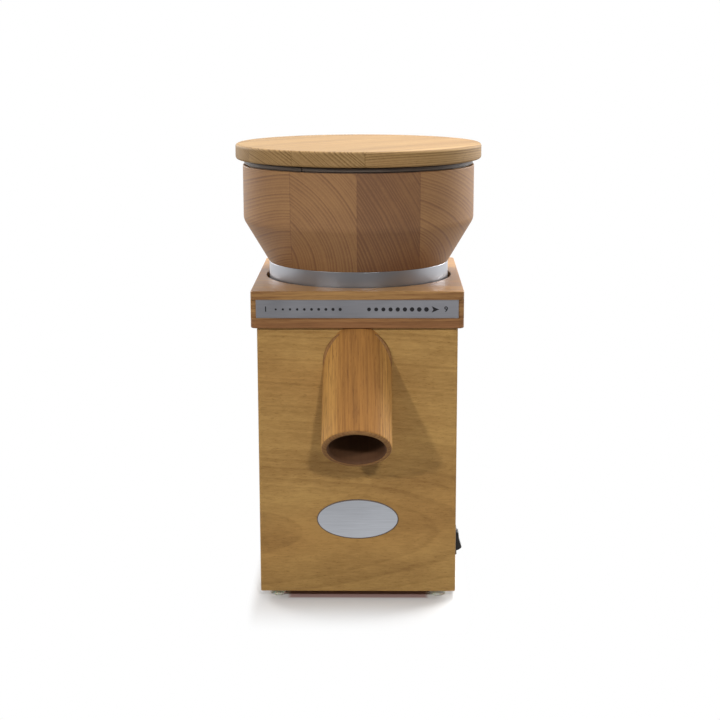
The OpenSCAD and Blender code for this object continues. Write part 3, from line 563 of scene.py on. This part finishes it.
def frame_outline(inset, azimuths):
    """The board's rounded square at those azimuths, drawn in by inset."""
    wide, deep = frame_high.x - inset, frame_high.y - inset
    points = []
    for azimuth in azimuths:
        out = at_azimuth(1, azimuth, 0)
        reach = min(wide / max(abs(out.x), 1e-9), deep / max(abs(out.y), 1e-9))
        x, y = out.x * reach, out.y * reach
        corner = Vector((math.copysign(wide - FRAME_EDGE_R, x), math.copysign(deep - FRAME_EDGE_R, y)))
        if abs(x) > wide - FRAME_EDGE_R and abs(y) > deep - FRAME_EDGE_R:
            along = out.xy.dot(corner)
            off = corner.length_squared - along ** 2
            x, y = out.xy * (along + math.sqrt(max(FRAME_EDGE_R ** 2 - off, 0)))
        points.append((x, y))
    return points


def frame_azimuths():
    """Even steps, with extra ones round the four corners."""
    azimuths = set(full_turn(180))
    corner = math.degrees(math.atan2(frame_high.x, frame_high.y))
    for quarter in (corner, 180 - corner, 180 + corner, 360 - corner):
        azimuths |= {quarter + 0.25 * k for k in range(-10, 11)}
    ordered = sorted(a % 360 for a in azimuths)
    return [a for a, b in zip(ordered, ordered[1:] + [ordered[0] + 360]) if b - a > 0.05]


def frame_mesh():
    azimuths = frame_azimuths()
    hole_r = seal_high.x + SEAL_PLAY
    ledge_z = chamber_high.z - FLANGE_T
    low, high = frame_low.z, frame_high.z
    rings = []

    def outer(inset, z, groove=False):
        outline = frame_outline(inset, azimuths)
        if groove:
            outline = [(x, max(y, frame_low.y + GROOVE_DEPTH)) for x, y in outline]
        rings.append([Vector((x, y, z)) for x, y in outline])

    def inner(radius, z):
        rings.append([at_azimuth(radius, a, z) for a in azimuths])

    bends = [math.radians(a) for a in (0, 22.5, 45, 67.5, 90)]
    for a in bends:
        outer(FRAME_FOOT_ROUND * (1 - math.sin(a)), low + FRAME_FOOT_ROUND * (1 - math.cos(a)))
    for z, groove_above in ((plate_low.z, True), (plate_high.z, False)):
        outer(0, z, groove=not groove_above)
        outer(0, z, groove=groove_above)
    for a in reversed(bends):
        outer(FRAME_ROUND * (1 - math.sin(a)), high - FRAME_ROUND * (1 - math.cos(a)))
    for a in bends:
        inner(hole_r + FRAME_ROUND * (1 - math.sin(a)), high - FRAME_ROUND * (1 - math.cos(a)))
    inner(hole_r, ledge_z)
    inner(FRAME_NECK_R, ledge_z)
    inner(FRAME_NECK_R, low)
    return skinned("frame_board", rings)


piece(frame_mesh(), "housing", "frame_wood", ["top_frame"], frame_wood)

# ---------------------------------------------------------------- scale plate and its marks

PLATE_EDGE = 0.25 * MM
PRINT_T = 0.03 * MM
MARKS_DROP = 0.3 * MM  # how far below the plate's middle the marks stand
DOT_PITCH = 5.03 * MM
DOT_ROWS = [(10, -57.2, 0.75, 1.15), (9, 8.3, 1.35, 1.65)]  # count, first dot, first and last radius, in mm
ARROW = [(52.2, 2.3), (57.4, 0.0), (52.2, -2.3), (53.4, 0.0)]  # mm from the plate's middle
NUMERALS = [("1", -64.3), ("9", 62.3)]  # and their places, in mm
NUMERAL_SIZE = 5.4 * MM
NUMERAL_BOLD = 0.1 * MM


def plate_mesh():
    """The scale plate, with its front edges eased."""
    low, high, edge = plate_low, plate_high, PLATE_EDGE
    outline = filleted([(low.x, low.z, edge), (high.x, low.z, edge), (high.x, high.z, edge),
                        (low.x, high.z, edge)], 3)
    middle = Vector(((low.x + high.x) / 2, (low.z + high.z) / 2))
    rings = []
    for y, inset in ((high.y, 0), (low.y + edge, 0), (low.y + 0.3 * edge, 0.3 * edge), (low.y, edge)):
        scaled = []
        for p in outline:
            off = p - middle
            scaled.append(Vector((middle.x + math.copysign(abs(off.x) - inset, off.x), y,
                                  middle.y + math.copysign(abs(off.y) - inset, off.y))))
        rings.append(scaled)
    return capped("scale_strip", rings)


def printed(outline, y):
    """A thin printed patch on a face that looks to the front."""
    return capped("patch", [[Vector((p[0], level, p[1])) for p in outline] for level in (y, y - PRINT_T)])


def numeral(text, x, z):
    """A printed figure on the scale plate."""
    curve = bpy.data.curves.new("numeral", "FONT")
    curve.body = text
    curve.size = NUMERAL_SIZE
    curve.align_x, curve.align_y = "CENTER", "CENTER"
    curve.extrude = PRINT_T / 2
    curve.offset = NUMERAL_BOLD
    holder = bpy.data.objects.new("numeral", curve)
    mesh = bpy.data.meshes.new_from_object(holder)
    bpy.data.objects.remove(holder)
    upright = Matrix.Rotation(math.pi / 2, 4, "X")
    mesh.transform(Matrix.Translation((x, plate_low.y - PRINT_T / 2, z)) @ upright)
    return mesh


def marks_mesh():
    middle_z = (plate_low.z + plate_high.z) / 2 - MARKS_DROP
    turn = [math.radians(a) for a in full_turn(24)]
    patches = []
    for count, first, small, large in DOT_ROWS:
        for i in range(count):
            radius = (small + (large - small) * i / (count - 1)) * MM
            x = first * MM + i * DOT_PITCH
            dot = [(x + radius * math.cos(a), middle_z + radius * math.sin(a)) for a in turn]
            patches.append(printed(dot, plate_low.y))
    patches.append(printed([(x * MM, middle_z + z * MM) for x, z in ARROW], plate_low.y))
    patches += [numeral(text, x * MM, middle_z) for text, x in NUMERALS]
    return joined("scale_marks", patches)


piece(plate_mesh(), "housing", "scale_metal", ["scale_plate"], scale_metal)
piece(marks_mesh(), "housing", "scale_metal", [], mark_ink)

# ---------------------------------------------------------------- badge

BADGE_RIM = 0.7 * MM


def oval(centre_z, wide, high, y):
    turn = [math.radians(a) for a in full_turn(96)]
    return [Vector((wide * math.cos(a), y, centre_z + high * math.sin(a))) for a in turn]


def badge_mesh():
    centre_z = (badge_low.z + badge_high.z) / 2
    wide, high = badge_high.x, (badge_high.z - badge_low.z) / 2
    face, back = badge_low.y, badge_high.y
    profile = [(0, back), (0, face + 0.3 * MM), (0.12 * MM, face + 0.1 * MM), (0.35 * MM, face),
               (BADGE_RIM, face), (BADGE_RIM + 0.1 * MM, face + 0.05 * MM)]
    mesh = capped("badge_oval", [oval(centre_z, wide - inset, high - inset, y) for inset, y in profile])
    for polygon in mesh.polygons:
        off = polygon.center - Vector((0, 0, centre_z))
        rim = (off.x / (wide - BADGE_RIM)) ** 2 + (off.z / (high - BADGE_RIM)) ** 2 > 1
        polygon.material_index = 1 if rim else 0
    return mesh


piece(badge_mesh(), "housing", "badge_metal", ["badge_plate"], badge_metal, dark_rim)

# ---------------------------------------------------------------- spout

SPOUT_R = spout_high.x
SPOUT_BORE_R = 19.5 * MM
SPOUT_RELIEF_R = SPOUT_BORE_R + 1 * MM  # the wider bore at the spout's root
SPOUT_RELIEF_END = 20.5 * MM  # along the spout, from where its axis meets the panel
SPOUT_LENGTH = 63.48 * MM
SPOUT_ROUND = 2.4 * MM
SPOUT_SLOPE = math.radians(45)
SPOUT_RISE = 2.2 * MM  # how far the tube would reach above the frame's underside if it weren't trimmed
SEAT_OUT = 2.5 * MM
SEAT_ROUND = 2 * MM
SEAT_IN_R = SPOUT_R - 3 * MM
SEAT_HALF_TURN = 105  # degrees from the top to each of the seat's ends, which lie in the tube's wall
SEAT_STEPS = 120
WALL_SLOT, BORE_PAINTED_SHADE_SLOT, END_GRAIN_AND_SHADE_SLOT = range(3)


def tube_mesh():
    slope_sin, slope_cos = math.sin(SPOUT_SLOPE), math.cos(SPOUT_SLOPE)
    out = Vector((0, -slope_cos, -slope_sin))
    up = Vector((0, -slope_sin, slope_cos))
    root = Vector((0, FRONT_Y, frame_low.z + SPOUT_RISE - SPOUT_R / slope_cos))
    turn = [math.radians(a) for a in full_turn(160)]
    wall = filleted([(SPOUT_BORE_R, SPOUT_RELIEF_END, 0), (SPOUT_BORE_R, SPOUT_LENGTH, SPOUT_ROUND),
                     (SPOUT_R, SPOUT_LENGTH, SPOUT_ROUND), (SPOUT_R, SPOUT_RELIEF_END, 0)])

    def ring(radius, along=None):
        """A ring of the tube at that length, or where it meets the panel and the level under the frame."""
        points = []
        for a in turn:
            height = radius * math.sin(a)
            at_panel = -height * math.tan(SPOUT_SLOPE)
            at_top = (root.z + height * slope_cos - spout_high.z) / slope_sin
            reach = max(at_panel, at_top) if along is None else along
            points.append(root + out * reach + Vector((radius * math.cos(a), 0, 0)) + up * height)
        return points

    rings = [ring(radius, along) for radius, along in wall[:-1]]
    rings += [ring(SPOUT_R), ring(SPOUT_RELIEF_R), ring(SPOUT_RELIEF_R, SPOUT_RELIEF_END)]
    mesh = skinned("tube", rings)
    # Faces inside the bore take the wood darkened as painted shade
    for face in mesh.polygons:
        off = face.center - root
        along = off.dot(out)
        inside = (off - out * along).length < SPOUT_BORE_R + SPOUT_ROUND / 2
        in_front = off.y < -1 * MM
        # The mouth's end takes the darker end tones: end grain, with painted shade
        at_mouth = along > SPOUT_LENGTH - SPOUT_ROUND / 2
        face.material_index = BORE_PAINTED_SHADE_SLOT if inside and in_front else END_GRAIN_AND_SHADE_SLOT if at_mouth else WALL_SLOT
    return mesh


def seat_mesh():
    """The part of the tube's round seat that stands past its sides."""
    azimuths = [180 - SEAT_HALF_TURN + 2 * SEAT_HALF_TURN * k / SEAT_STEPS for k in range(SEAT_STEPS + 1)]
    mesh = turned("seat", filleted([(SEAT_IN_R, 0, 0), (SPOUT_R, 0, 0), (SPOUT_R, SEAT_OUT, SEAT_ROUND),
                                    (SEAT_IN_R, SEAT_OUT, 0)]), azimuths, around=False)
    # The seat takes the darker end tones: painted shade for the dark line round the spout's root
    for face in mesh.polygons:
        face.material_index = END_GRAIN_AND_SHADE_SLOT
    upright = Matrix.Rotation(math.pi / 2, 4, "X")
    mesh.transform(Matrix.Translation((0, FRONT_Y, spout_high.z - SPOUT_R)) @ upright)
    return mesh


piece(joined("spout_tube", [tube_mesh(), seat_mesh()]), "housing", "spout_wood", ["spout"],
      spout_wood, bore_painted_shade_wood, spout_end_grain_and_shade_wood)

# ---------------------------------------------------------------- feet

FOOT_R = 6 * MM
FOOT_TIP_R = 5.2 * MM
FOOT_ROUND = 1.2 * MM


def foot_mesh(x, y):
    outline = filleted([(0, 0, 0), (FOOT_TIP_R, 0, FOOT_ROUND), (FOOT_R, feet_high.z, 0),
                        (0, feet_high.z, 0)])
    mesh = turned("foot", outline, full_turn(48))
    mesh.transform(Matrix.Translation((x, y, 0)))
    return mesh


FOOT_AT = Vector((feet_high.x - FOOT_R, feet_high.y - FOOT_R))
piece(joined("foot_pads", [foot_mesh(sx * FOOT_AT.x, sy * FOOT_AT.y) for sx in (-1, 1) for sy in (-1, 1)]),
      "housing", "foot_rubber", ["feet"], foot_rubber)

# ---------------------------------------------------------------- the switch's marks

ROCKER_TILT = math.radians(-12)
ROCKER_R = 7.45 * MM
ROCKER_RISE = 5 * MM
ROCKER_DIP = 0.9 * MM
MARK_AT = 0.55  # of the way from the rocker's middle to its end
LINE_HALF_W, LINE_HALF_H = 0.3 * MM, 1.4 * MM
CIRCLE_IN_R, CIRCLE_R = 0.9 * MM, 1.4 * MM
SWITCH_AT = Vector((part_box("right_panel")[1].x, (rocker_low.y + rocker_high.y) / 2,
                    (switch_low.z + switch_high.z) / 2))


def switch_marks_mesh():
    """A line on the rocker's upper face and a ring on its lower one."""
    corners = ((-1, -1), (1, -1), (1, 1), (-1, 1))
    line = capped("line", [[Vector((x * LINE_HALF_W, y * LINE_HALF_H, z)) for x, y in corners]
                           for z in (0, PRINT_T)])
    ring = turned("circle", [(CIRCLE_IN_R, 0), (CIRCLE_R, 0), (CIRCLE_R, PRINT_T), (CIRCLE_IN_R, PRINT_T)],
                  full_turn(40))
    facing = Matrix(((0, 0, 1, 0), (1, 0, 0, 0), (0, 1, 0, 0), (0, 0, 0, 1)))
    tilt = Matrix.Rotation(ROCKER_TILT, 4, "Y")
    slope = math.atan(ROCKER_DIP / ROCKER_R)
    out = ROCKER_RISE - ROCKER_DIP * (1 - MARK_AT)
    for mesh, side in ((line, 1), (ring, -1)):
        place = Matrix.Translation((out, 0, side * MARK_AT * ROCKER_R))
        lean = Matrix.Rotation(side * slope, 4, "Y")
        mesh.transform(Matrix.Translation(SWITCH_AT) @ tilt @ place @ lean @ facing)
    return joined("switch_marks", [line, ring])


piece(switch_marks_mesh(), "rocker", "switch_plastic", [], white_ink)

# ---------------------------------------------------------------- finishes of the CAD nodes

WELD_WITHIN = 1e-6  # metres
EASED_ANGLE = math.radians(40)  # edges sharper than this are eased


def dress(nodes, material, edge=0.4):
    """Gives CAD nodes their material and eases their edges by edge, in mm."""
    for name in nodes:
        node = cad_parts[name]
        node.data.materials.clear()
        node.data.materials.append(material)
        node.data.shade_smooth()
        weld = node.modifiers.new("weld", "WELD")
        weld.merge_threshold = WELD_WITHIN
        if edge:
            bevel = node.modifiers.new("eased_edges", "BEVEL")
            bevel.width = edge * MM
            bevel.segments = 3
            bevel.limit_method = "ANGLE"
            bevel.angle_limit = EASED_ANGLE
            bevel.harden_normals = True
        even_normals(node)


steel = brushed("screw_steel", (176, 178, 180), 0.34, (20.0, 20.0, 20.0), 0.02)
shaft_steel = brushed("shaft_steel", (190, 192, 194), 0.24, (20.0, 20.0, 1.0), 0.02)
throat_steel = brushed("throat_steel", (138, 140, 143), 0.5, (20.0, 20.0, 1.0), 0.02)
cast_metal = plain("cast_aluminium", (168, 170, 172), 0.5, scale=420.0, bump=0.12, Metallic=0.9)
core_steel = brushed("core_steel", (96, 98, 104), 0.45, (1.0, 1.0, 40.0), 0.1)
copper = brushed("copper", (190, 112, 66), 0.38, (1.0, 1.0, 30.0), 0.2)
stone = plain("millstone", (196, 192, 182), 0.85, speck=0.35, scale=500.0, bump=0.3)
seal_rubber = plain("seal_rubber", (44, 44, 46), 0.6)
felt = plain("felt", (196, 190, 176), 0.95, speck=0.2, scale=1400.0, bump=0.3)
thread_plastic = plain("thread_plastic", (52, 52, 56), 0.45)
fan_plastic = plain("fan_plastic", (60, 60, 64), 0.45)
terminal_plastic = plain("terminal_plastic", (226, 224, 214), 0.4)
capacitor_can = brushed("capacitor_can", (196, 198, 200), 0.35, (1.0, 1.0, 20.0), 0.02)
brass = brushed("contact_brass", (196, 160, 92), 0.3, (20.0, 20.0, 20.0), 0.02)
lead_plastic = plain("lead_plastic", (112, 66, 40), 0.45)
sheath_plastic = plain("sheath_plastic", (70, 70, 74), 0.5)
gland_plastic = plain("gland_plastic", (30, 30, 32), 0.45)

dress(["front_panel"], front_wood)
dress(["rear_panel"], rear_wood)
dress(["left_panel"], left_wood, 0.2)
dress(["right_panel"], right_wood, 0.2)
dress(["base_plate"], base_wood)
dress(["base_blocks", "top_blocks"], block_wood)
dress(["base_screws", "frame_screws", "chamber_screws", "bowl_screws", "holder_screws", "motor_bolts",
       "stone_washer", "stone_nut", "capacitor_clip"], steel, 0.2)
dress(["milling_chamber", "upper_shield", "lower_shield", "stone_holder", "stone_carrier"], cast_metal, 0.3)
dress(["motor_shaft", "upper_bearing", "lower_bearing"], shaft_steel, 0.2)
dress(["feed_throat"], throat_steel, 0.2)
dress(["stator_core", "rotor_core"], core_steel, 0.2)
dress(["stator_windings"], copper, 0.8)
dress(["lower_stone", "upper_stone"], stone, 0.4)
dress(["outlet_gasket", "shaft_seal"], seal_rubber, 0.2)
dress(["dust_seal"], felt, 0.3)
dress(["thread_ring"], thread_plastic, 0.3)
dress(["cooling_fan"], fan_plastic, 0.2)
dress(["terminal_block"], terminal_plastic, 0.3)
dress(["capacitor"], capacitor_can, 0.3)
dress(["switch_terminals"], brass, 0.1)
dress(["switch_leads"], lead_plastic, 0)
dress(["motor_lead"], sheath_plastic, 0)
dress(["cord_gland"], gland_plastic, 0.4)
dress(["switch_housing", "switch_rocker"], switch_plastic, 0.3)

# ---------------------------------------------------------------- floor, light and camera

# Each lamp's name, its place, the height on the mill's axis that it aims at, its width and its power
LAMPS = [
    ("top_softbox", (0.2, 0.45, 1.5), 0.2, 0.8, 24),
    ("front_lamp", (0.35, -1.57, 1.0), 0.18, 0.14, 8.4),
    ("left_lamp", (-1.0, -1.47, 0.95), 0.18, 0.14, 10.3),
    ("right_side_lamp", (1.22, 1.0, 0.75), 0.2, 0.9, 24),
    ("left_side_lamp", (-1.1, 1.2, 0.75), 0.2, 0.9, 16),
]


def area_lamp(name, place, aim_z, size, power):
    lamp = bpy.data.lights.new(name, "AREA")
    lamp.shape = "DISK"
    lamp.size = size
    lamp.energy = power
    made = bpy.data.objects.new(name, lamp)
    made.location = place
    made.rotation_euler = (Vector((0, 0, aim_z)) - Vector(place)).to_track_quat("-Z", "Y").to_euler()
    bpy.context.scene.collection.objects.link(made)


WHITE = (1.0, 1.0, 1.0, 1.0)


def seen(tree, kinds):
    """1 for the rays named in kinds, 0 for the rest."""
    path = tree.nodes.new("ShaderNodeLightPath")
    total = path.outputs[kinds[0]]
    for kind in kinds[1:]:
        both = tree.nodes.new("ShaderNodeMath")
        both.operation = "MAXIMUM"
        tree.links.new(total, both.inputs[0])
        tree.links.new(path.outputs[kind], both.inputs[1])
        total = both.outputs[0]
    return total


CAMERA_RAYS = ["Is Camera Ray"]
SHINE_RAYS = ["Is Glossy Ray", "Is Transmission Ray"]

# How bright the surroundings are in front of the mill and behind it, and the Y of the direction from which
# on they are as bright as behind: once for what lights the mill, once for what it mirrors
LIGHT_FRONT, LIGHT_BACK, LIGHT_UNTIL = 0.07, 0.65, 0.3
SHINE_FRONT, SHINE_BACK, SHINE_UNTIL = 0.1, 1.3, 0.8
GRADIENT_FROM = -0.95


def studio_world():
    """Soft light, brighter behind the mill than in front of it, and white to the camera."""
    world = bpy.data.worlds.new("studio")
    world.use_nodes = True
    tree = world.node_tree
    tree.nodes.clear()
    way = tree.nodes.new("ShaderNodeTexCoord")
    split = tree.nodes.new("ShaderNodeSeparateXYZ")
    tree.links.new(way.outputs["Generated"], split.inputs[0])

    def gradient(front, back, until):
        span = tree.nodes.new("ShaderNodeMapRange")
        span.interpolation_type = "SMOOTHSTEP"
        tree.links.new(split.outputs["Y"], span.inputs[0])
        for i, value in enumerate((GRADIENT_FROM, until, front, back)):
            span.inputs[i + 1].default_value = value
        return span.outputs[0]

    def background(strength):
        node = tree.nodes.new("ShaderNodeBackground")
        node.inputs["Color"].default_value = WHITE
        if isinstance(strength, bpy.types.NodeSocket):
            tree.links.new(strength, node.inputs["Strength"])
        else:
            node.inputs["Strength"].default_value = strength
        return node.outputs[0]

    def mixed(share, a, b):
        node = tree.nodes.new("ShaderNodeMixShader")
        for i, socket in enumerate((share, a, b)):
            tree.links.new(socket, node.inputs[i])
        return node.outputs[0]

    light = background(gradient(LIGHT_FRONT, LIGHT_BACK, LIGHT_UNTIL))
    shine = background(gradient(SHINE_FRONT, SHINE_BACK, SHINE_UNTIL))
    lit = mixed(seen(tree, SHINE_RAYS), light, shine)
    final = mixed(seen(tree, CAMERA_RAYS), lit, background(1.0))
    output = tree.nodes.new("ShaderNodeOutputWorld")
    tree.links.new(final, output.inputs["Surface"])
    bpy.context.scene.world = world


FLOOR_SIZE = 6.0
FLOOR_SEEN = colour(240, 240, 240)
FLOOR_BOUNCE = colour(142, 142, 142)  # darker to the object, so that little light comes up from it
FLOOR_PAINTED_SHADE = colour(192, 160, 156)  # painted shade on the floor between the feet
FLOOR_PAINTED_SHADE_FADE = 4 * MM
FLOOR_WHITE_AT = 0.068  # distance from the housing where the floor has turned to plain white, in metres
FLOOR_SIDE_SHARE = 7  # how many times sooner that is beside the housing than in front of it
FLOOR_SHINE = (-0.6, 0.2, 0.2, 1.0)  # from Y -0.6 to Y 0.2 the floor's mirrored brightness grows, 0.2 to 1


def studio_floor():
    """A pale floor that keeps the mill's shadow, has painted shade between the feet, and turns to plain white
    away from it.
    """
    half = FLOOR_SIZE / 2
    corners = [(-half, -half, 0), (half, -half, 0), (half, half, 0), (-half, half, 0)]
    mesh = bpy.data.meshes.new("floor")
    mesh.from_pydata(corners, [], [(0, 1, 2, 3)])
    floor = bpy.data.objects.new("floor", mesh)
    bpy.context.scene.collection.objects.link(floor)
    finish = Finish("floor", Roughness=0.9, Specular_IOR_Level=0.0)
    to_camera, to_shine = seen(finish.tree, CAMERA_RAYS), seen(finish.tree, SHINE_RAYS)

    # Painted shade: between the feet, under the housing, the floor takes a darker colour for the camera
    footprint = (front_high.x, -front_low.y, 1.0)
    past = finish.vector("SUBTRACT", finish.vector("ABSOLUTE", finish.place()), footprint)
    x, y, _ = finish.axes(past)
    x = finish.math("ADD", x, front_high.x - (FOOT_AT.x - FOOT_R))
    near = finish.span(finish.math("MAXIMUM", x, y), -FLOOR_PAINTED_SHADE_FADE, 0)
    pale = finish.mix(near, FLOOR_PAINTED_SHADE, FLOOR_SEEN)
    finish.set(Base_Color=finish.mix(to_camera, FLOOR_BOUNCE, pale))

    outside = finish.vector("MAXIMUM", finish.vector("MULTIPLY", past, (FLOOR_SIDE_SHARE, 1, 1)), (0, 0, 0))
    away = finish.span(finish.vector("LENGTH", outside, output=1), 0, FLOOR_WHITE_AT)
    share = finish.math("MAXIMUM", finish.math("MULTIPLY", away, to_camera), to_shine)
    shine = finish.span(finish.axes(finish.place())["Y"], *FLOOR_SHINE)
    white = finish.add("Emission", {"Color": WHITE, "Strength": finish.math("MAXIMUM", to_camera, shine)})
    both = finish.tree.nodes.new("ShaderNodeMixShader")
    finish.feed(both.inputs[0], share)
    finish.feed(both.inputs[1], finish.shader.outputs[0])
    finish.feed(both.inputs[2], white)
    finish.feed(finish.tree.nodes["Material Output"].inputs["Surface"], both.outputs[0])
    mesh.materials.append(finish.material)


CAMERA_AT = Vector((15.7, -1155.0, 408.3)) * MM
CAMERA_PITCH = 0.2103
CAMERA_YAW = -0.01286
CAMERA_ROLL = -0.00205
LENS = 77.68  # mm on a 36 mm sensor


def camera():
    data = bpy.data.cameras.new("camera")
    data.lens = LENS
    data.sensor_width = 36
    data.clip_start, data.clip_end = 0.05, 20
    made = bpy.data.objects.new("camera", data)
    turn = Matrix.Rotation(-CAMERA_YAW, 4, "Z") @ Matrix.Rotation(math.pi / 2 - CAMERA_PITCH, 4, "X")
    made.matrix_world = Matrix.Translation(CAMERA_AT) @ turn @ Matrix.Rotation(CAMERA_ROLL, 4, "Z")
    bpy.context.scene.collection.objects.link(made)
    bpy.context.scene.camera = made


for lamp in LAMPS:
    area_lamp(*lamp)
studio_world()
studio_floor()
camera()
bpy.context.scene.view_settings.view_transform = "Standard"
